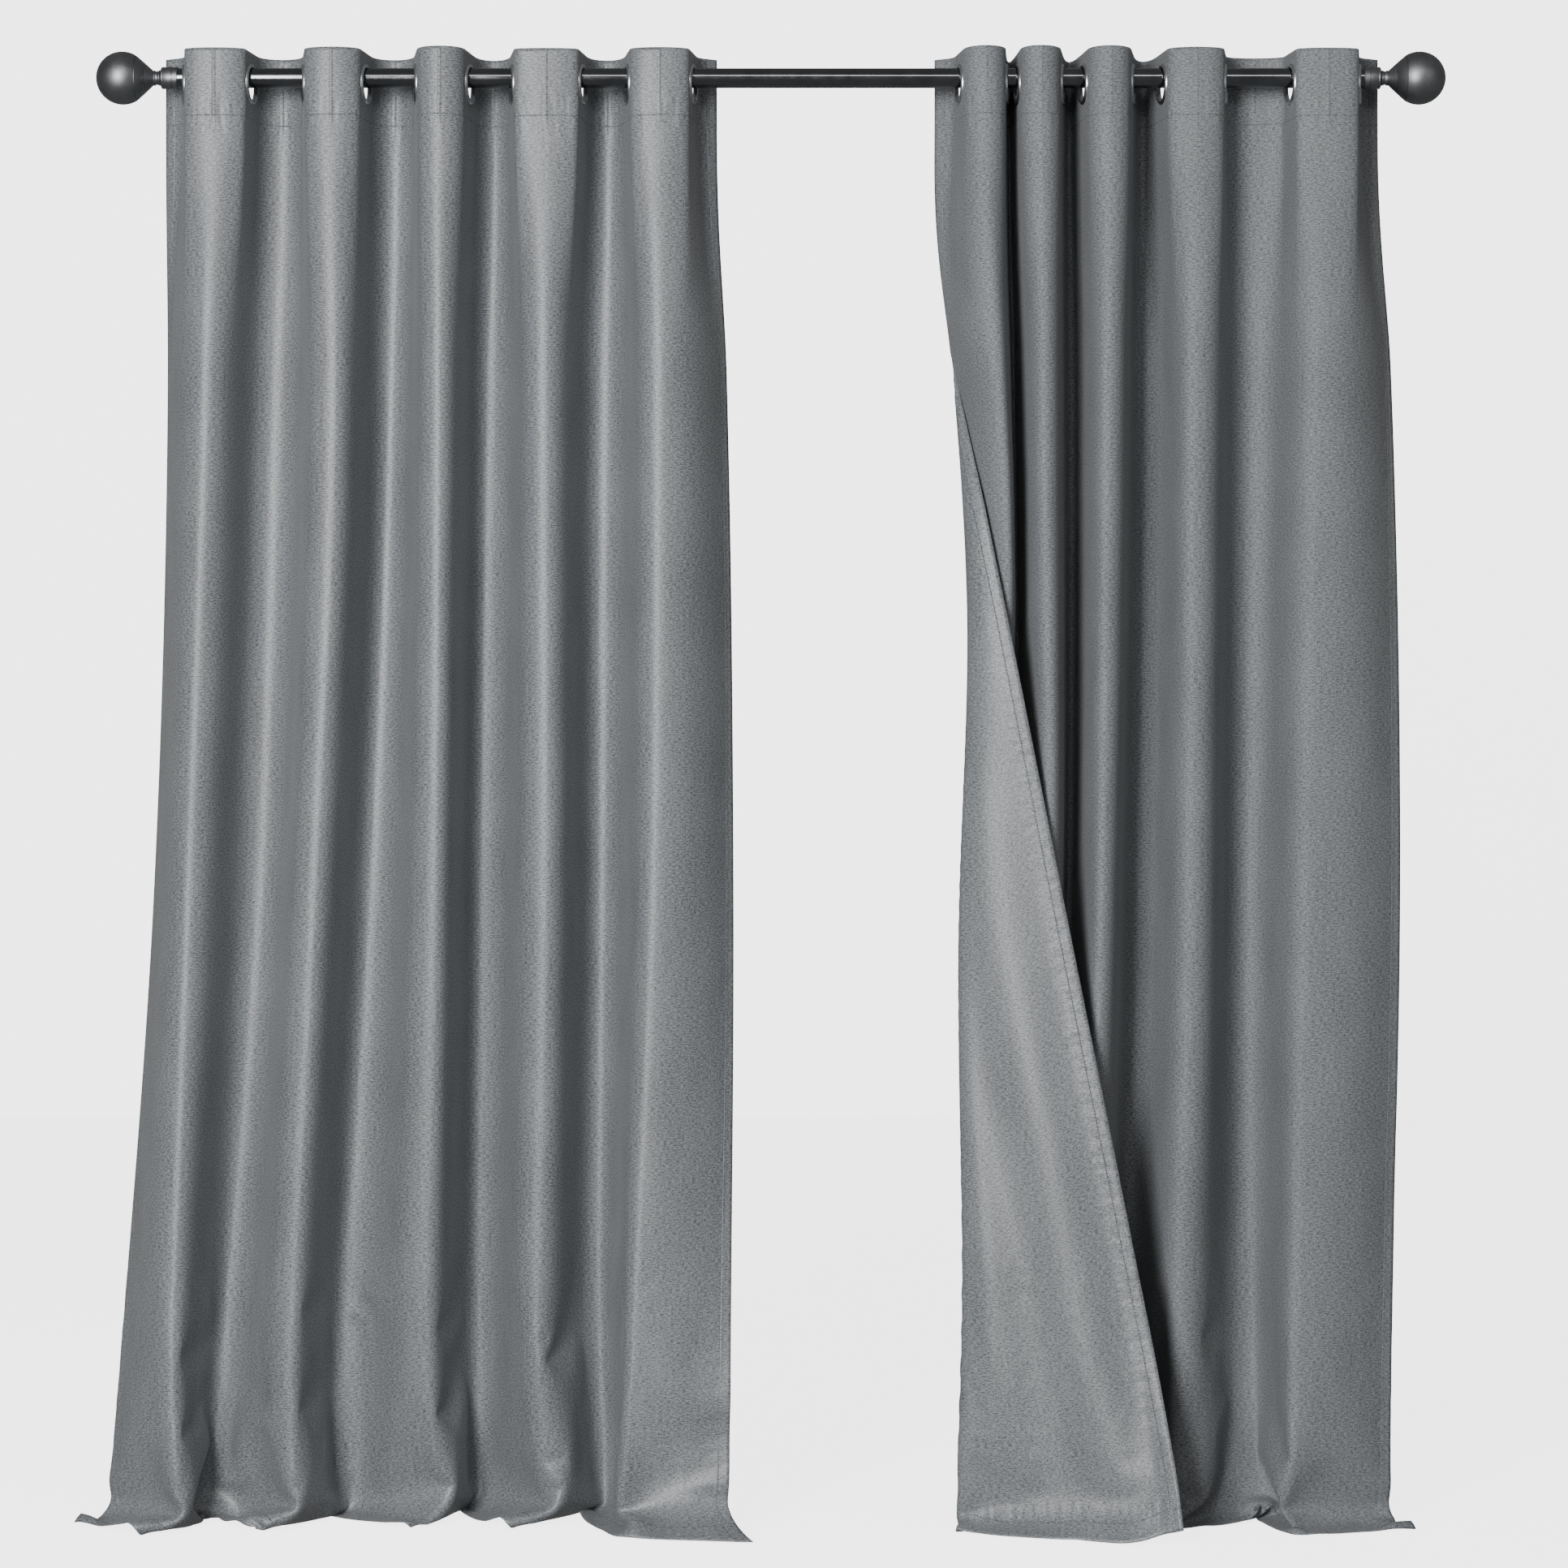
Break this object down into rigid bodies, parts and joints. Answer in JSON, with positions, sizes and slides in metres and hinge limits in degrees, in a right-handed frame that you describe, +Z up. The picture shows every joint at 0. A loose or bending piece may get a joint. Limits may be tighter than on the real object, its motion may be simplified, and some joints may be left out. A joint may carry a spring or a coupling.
{
  "type": "window curtains on a rod",
  "caption": "Pair of eyelet curtain panels on a rod with turned ball finials and wall brackets; each panel gathers and draws along the rod.",
  "frame": {"origin": "on the wall plane, halfway between the two wall plates and level with the rod's axis", "axes": "+X along the rod to the viewer's right, +Y into the wall, +Z up"},
  "size_m": [1.6482, 0.2756, 1.7971],
  "materials": {
    "gunmetal": "polished black nickel",
    "pewter": "satin pewter",
    "zinc": "zinc plated",
    "grey_cloth": "heathered mid grey weave with a soft sheen"
  },
  "bodies": {
    "root": {"rod_tube": "gunmetal", "finial_ball_left": "gunmetal", "finial_neck_left": "gunmetal", "bracket_arm_left": "gunmetal", "wall_plate_left": "gunmetal", "end_plug_left": "zinc", "set_screw_left": "zinc", "wall_screw_left_upper": "zinc", "wall_screw_left_lower": "zinc", "finial_ball_right": "gunmetal", "finial_neck_right": "gunmetal", "bracket_arm_right": "gunmetal", "wall_plate_right": "gunmetal", "end_plug_right": "zinc", "set_screw_right": "zinc", "wall_screw_right_upper": "zinc", "wall_screw_right_lower": "zinc", "left_eyelet_01": "pewter", "left_pleat_01": "grey_cloth", "right_eyelet_01": "pewter", "right_pleat_01": "grey_cloth"},
    "left_eyelet_02_carried": {"left_eyelet_02": "pewter", "left_pleat_02": "grey_cloth"},
    "left_eyelet_03_carried": {"left_eyelet_03": "pewter", "left_pleat_03": "grey_cloth"},
    "left_eyelet_04_carried": {"left_eyelet_04": "pewter", "left_pleat_04": "grey_cloth"},
    "left_eyelet_05_carried": {"left_eyelet_05": "pewter", "left_pleat_05": "grey_cloth"},
    "left_eyelet_06_carried": {"left_eyelet_06": "pewter", "left_pleat_06": "grey_cloth"},
    "left_eyelet_07_carried": {"left_eyelet_07": "pewter", "left_pleat_07": "grey_cloth"},
    "left_eyelet_08_carried": {"left_eyelet_08": "pewter", "left_pleat_08": "grey_cloth"},
    "left_eyelet_09_carried": {"left_eyelet_09": "pewter", "left_pleat_09": "grey_cloth"},
    "left_leading_eyelet": {"left_eyelet_10": "pewter", "left_pleat_10": "grey_cloth"},
    "right_eyelet_02_carried": {"right_eyelet_02": "pewter", "right_pleat_02": "grey_cloth"},
    "right_eyelet_03_carried": {"right_eyelet_03": "pewter", "right_pleat_03": "grey_cloth"},
    "right_eyelet_04_carried": {"right_eyelet_04": "pewter", "right_pleat_04": "grey_cloth"},
    "right_eyelet_05_carried": {"right_eyelet_05": "pewter", "right_pleat_05": "grey_cloth"},
    "right_eyelet_06_carried": {"right_eyelet_06": "pewter", "right_pleat_06": "grey_cloth"},
    "right_eyelet_07_carried": {"right_eyelet_07": "pewter", "right_pleat_07": "grey_cloth"},
    "right_eyelet_08_carried": {"right_eyelet_08": "pewter", "right_pleat_08": "grey_cloth"},
    "right_eyelet_09_carried": {"right_eyelet_09": "pewter", "right_pleat_09": "grey_cloth"},
    "right_leading_eyelet": {"right_eyelet_10": "pewter", "right_pleat_10": "grey_cloth", "right_turned_back_edge": "grey_cloth"}
  },
  "joints": [
    {"name": "left_eyelet_02_slide", "type": "slide", "parent": "root", "child": "left_eyelet_02_carried", "axis": [-1, 0, 0], "range_m": [-0.0061, 0.0122]},
    {"name": "left_eyelet_03_slide", "type": "slide", "parent": "root", "child": "left_eyelet_03_carried", "axis": [-1, 0, 0], "range_m": [-0.0173, 0.0351]},
    {"name": "left_eyelet_04_slide", "type": "slide", "parent": "root", "child": "left_eyelet_04_carried", "axis": [-1, 0, 0], "range_m": [-0.0353, 0.0725]},
    {"name": "left_eyelet_05_slide", "type": "slide", "parent": "root", "child": "left_eyelet_05_carried", "axis": [-1, 0, 0], "range_m": [-0.0525, 0.1079]},
    {"name": "left_eyelet_06_slide", "type": "slide", "parent": "root", "child": "left_eyelet_06_carried", "axis": [-1, 0, 0], "range_m": [-0.0714, 0.1469]},
    {"name": "left_eyelet_07_slide", "type": "slide", "parent": "root", "child": "left_eyelet_07_carried", "axis": [-1, 0, 0], "range_m": [-0.0859, 0.1771]},
    {"name": "left_eyelet_08_slide", "type": "slide", "parent": "root", "child": "left_eyelet_08_carried", "axis": [-1, 0, 0], "range_m": [-0.106, 0.2185]},
    {"name": "left_eyelet_09_slide", "type": "slide", "parent": "root", "child": "left_eyelet_09_carried", "axis": [-1, 0, 0], "range_m": [-0.1151, 0.2374]},
    {"name": "left_curtain_draw", "type": "slide", "parent": "root", "child": "left_leading_eyelet", "axis": [-1, 0, 0], "range_m": [-0.12, 0.248], "deforming": ["left_pleat_01", "left_pleat_02", "left_pleat_03", "left_pleat_04", "left_pleat_05", "left_pleat_06", "left_pleat_07", "left_pleat_08", "left_pleat_09", "left_pleat_10"]},
    {"name": "right_eyelet_02_slide", "type": "slide", "parent": "root", "child": "right_eyelet_02_carried", "axis": [1, 0, 0], "range_m": [-0.0098, 0.0156]},
    {"name": "right_eyelet_03_slide", "type": "slide", "parent": "root", "child": "right_eyelet_03_carried", "axis": [1, 0, 0], "range_m": [-0.0319, 0.0515]},
    {"name": "right_eyelet_04_slide", "type": "slide", "parent": "root", "child": "right_eyelet_04_carried", "axis": [1, 0, 0], "range_m": [-0.059, 0.0956]},
    {"name": "right_eyelet_05_slide", "type": "slide", "parent": "root", "child": "right_eyelet_05_carried", "axis": [1, 0, 0], "range_m": [-0.0725, 0.1175]},
    {"name": "right_eyelet_06_slide", "type": "slide", "parent": "root", "child": "right_eyelet_06_carried", "axis": [1, 0, 0], "range_m": [-0.0929, 0.1507]},
    {"name": "right_eyelet_07_slide", "type": "slide", "parent": "root", "child": "right_eyelet_07_carried", "axis": [1, 0, 0], "range_m": [-0.1009, 0.1637]},
    {"name": "right_eyelet_08_slide", "type": "slide", "parent": "root", "child": "right_eyelet_08_carried", "axis": [1, 0, 0], "range_m": [-0.1135, 0.1842]},
    {"name": "right_eyelet_09_slide", "type": "slide", "parent": "root", "child": "right_eyelet_09_carried", "axis": [1, 0, 0], "range_m": [-0.116, 0.1882]},
    {"name": "right_curtain_draw", "type": "slide", "parent": "root", "child": "right_leading_eyelet", "axis": [1, 0, 0], "range_m": [-0.12, 0.195], "deforming": ["right_pleat_01", "right_pleat_02", "right_pleat_03", "right_pleat_04", "right_pleat_05", "right_pleat_06", "right_pleat_07", "right_pleat_08", "right_pleat_09", "right_pleat_10"]}
  ],
  "couplings": [
    {"joint": "left_eyelet_02_slide", "follows": "left_curtain_draw", "ratio": 0.047},
    {"joint": "left_eyelet_03_slide", "follows": "left_curtain_draw", "ratio": 0.1396},
    {"joint": "left_eyelet_04_slide", "follows": "left_curtain_draw", "ratio": 0.2903},
    {"joint": "left_eyelet_05_slide", "follows": "left_curtain_draw", "ratio": 0.433},
    {"joint": "left_eyelet_06_slide", "follows": "left_curtain_draw", "ratio": 0.5905},
    {"joint": "left_eyelet_07_slide", "follows": "left_curtain_draw", "ratio": 0.7119},
    {"joint": "left_eyelet_08_slide", "follows": "left_curtain_draw", "ratio": 0.8789},
    {"joint": "left_eyelet_09_slide", "follows": "left_curtain_draw", "ratio": 0.9552},
    {"joint": "right_eyelet_02_slide", "follows": "right_curtain_draw", "ratio": 0.0774},
    {"joint": "right_eyelet_03_slide", "follows": "right_curtain_draw", "ratio": 0.2617},
    {"joint": "right_eyelet_04_slide", "follows": "right_curtain_draw", "ratio": 0.4875},
    {"joint": "right_eyelet_05_slide", "follows": "right_curtain_draw", "ratio": 0.5999},
    {"joint": "right_eyelet_06_slide", "follows": "right_curtain_draw", "ratio": 0.77},
    {"joint": "right_eyelet_07_slide", "follows": "right_curtain_draw", "ratio": 0.8367},
    {"joint": "right_eyelet_08_slide", "follows": "right_curtain_draw", "ratio": 0.9419},
    {"joint": "right_eyelet_09_slide", "follows": "right_curtain_draw", "ratio": 0.9628}
  ]
}
